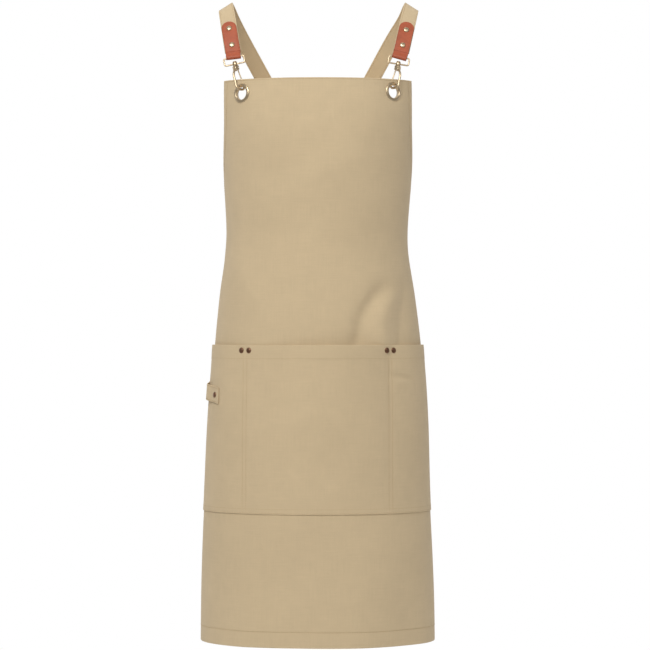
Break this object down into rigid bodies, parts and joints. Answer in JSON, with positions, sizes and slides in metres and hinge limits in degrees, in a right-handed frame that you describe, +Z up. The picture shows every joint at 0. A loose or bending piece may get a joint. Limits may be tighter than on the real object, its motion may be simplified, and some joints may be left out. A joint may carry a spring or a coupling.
{
  "type": "cross-back bib apron",
  "caption": "Worn canvas bib apron with crossed shoulder straps, leather tabs, swivel snap hooks in bib eyelets, a wide divided front pocket and a towel loop.",
  "frame": {"origin": "midway between the two places where the straps rest on the wearer's shoulders", "axes": "+Z up along the wearer, the front of the apron faces -Y, the wearer's right hand is at -X"},
  "size_m": [0.3642, 0.2525, 0.9948],
  "materials": {
    "canvas": "heavy plain canvas, matt, sand coloured",
    "leather": "tan vegetable-tanned leather, satin",
    "brass": "pale polished brass",
    "dark_brass": "dark antiqued brass, satin",
    "steel": "plain spring steel"
  },
  "bodies": {
    "apron": {"apron_panel": "canvas", "bib_facing": "canvas", "pocket_panel": "canvas", "towel_loop": "canvas", "strap_right": "canvas", "strap_left": "canvas", "waist_tab_right": "canvas", "waist_tab_left": "canvas", "leather_tab_right": "leather", "leather_tab_left": "leather", "tab_rivet_upper_right": "brass", "tab_rivet_upper_left": "brass", "tab_rivet_lower_right": "brass", "tab_rivet_lower_left": "brass", "tab_burr_upper_right": "brass", "tab_burr_upper_left": "brass", "tab_burr_lower_right": "brass", "tab_burr_lower_left": "brass", "eyelet_right": "brass", "eyelet_left": "brass", "eyelet_washer_right": "brass", "eyelet_washer_left": "brass", "pocket_rivet_right_outer": "dark_brass", "pocket_rivet_right_inner": "dark_brass", "pocket_rivet_left_inner": "dark_brass", "pocket_rivet_left_outer": "dark_brass", "pocket_burr_right_outer": "dark_brass", "pocket_burr_right_inner": "dark_brass", "pocket_burr_left_inner": "dark_brass", "pocket_burr_left_outer": "dark_brass", "loop_rivet": "dark_brass", "loop_burr": "dark_brass"},
    "ring_right": {"strap_ring_right": "brass"},
    "hook_right": {"hook_body_right": "brass", "gate_pin_right": "steel", "gate_spring_right": "steel"},
    "gate_right": {"hook_gate_right": "brass"},
    "waist_ring_body_right": {"waist_ring_right": "brass"},
    "slider_body_right": {"slider_right": "brass"},
    "ring_left": {"strap_ring_left": "brass"},
    "hook_left": {"hook_body_left": "brass", "gate_pin_left": "steel", "gate_spring_left": "steel"},
    "gate_left": {"hook_gate_left": "brass"},
    "waist_ring_body_left": {"waist_ring_left": "brass"},
    "slider_body_left": {"slider_left": "brass"}
  },
  "joints": [
    {"name": "ring_tilt_right", "type": "hinge", "parent": "apron", "child": "ring_right", "pos_m": [-0.12956, -0.04803, -0.08516], "axis": [0.9765, 0.0265, 0.2141], "range_deg": [0, 2]},
    {"name": "hook_swivel_right", "type": "hinge", "parent": "ring_right", "child": "hook_right", "pos_m": [-0.1271, -0.051, -0.096], "axis": [-0.2136, 0.2579, 0.9423], "range_deg": [-10, 10]},
    {"name": "gate_open_right", "type": "hinge", "parent": "hook_right", "child": "gate_right", "pos_m": [-0.1238, -0.05154, -0.10296], "axis": [-0.5863, 0.7376, -0.3348], "range_deg": [0, 6], "stiffness_Nm_per_rad": 0.02, "springref_deg": -17.19},
    {"name": "waist_ring_tilt_right", "type": "hinge", "parent": "apron", "child": "waist_ring_body_right", "pos_m": [-0.07129, 0.098, -0.35205], "axis": [-0.7566, -0.2909, 0.5856], "range_deg": [-2, 2]},
    {"name": "slider_slide_right", "type": "slide", "parent": "apron", "child": "slider_body_right", "axis": [0.5654, 0.1586, 0.8094], "range_m": [-0.014, 0.004]},
    {"name": "ring_tilt_left", "type": "hinge", "parent": "apron", "child": "ring_left", "pos_m": [0.12623, -0.0479, -0.08508], "axis": [-0.9867, 0.012, 0.1621], "range_deg": [-1.3, 0.2]},
    {"name": "hook_swivel_left", "type": "hinge", "parent": "ring_left", "child": "hook_left", "pos_m": [0.1244, -0.051, -0.096], "axis": [0.1593, 0.2693, 0.9498], "range_deg": [-10, 10]},
    {"name": "gate_open_left", "type": "hinge", "parent": "hook_left", "child": "gate_left", "pos_m": [0.12148, -0.05165, -0.10312], "axis": [-0.5915, -0.7442, 0.3102], "range_deg": [0, 6], "stiffness_Nm_per_rad": 0.02, "springref_deg": -17.19},
    {"name": "waist_ring_tilt_left", "type": "hinge", "parent": "apron", "child": "waist_ring_body_left", "pos_m": [0.07129, 0.098, -0.35205], "axis": [0.7566, -0.2909, 0.5856], "range_deg": [-2, 2]},
    {"name": "slider_slide_left", "type": "slide", "parent": "apron", "child": "slider_body_left", "axis": [-0.5654, 0.1586, 0.8094], "range_m": [-0.014, 0.004]}
  ]
}
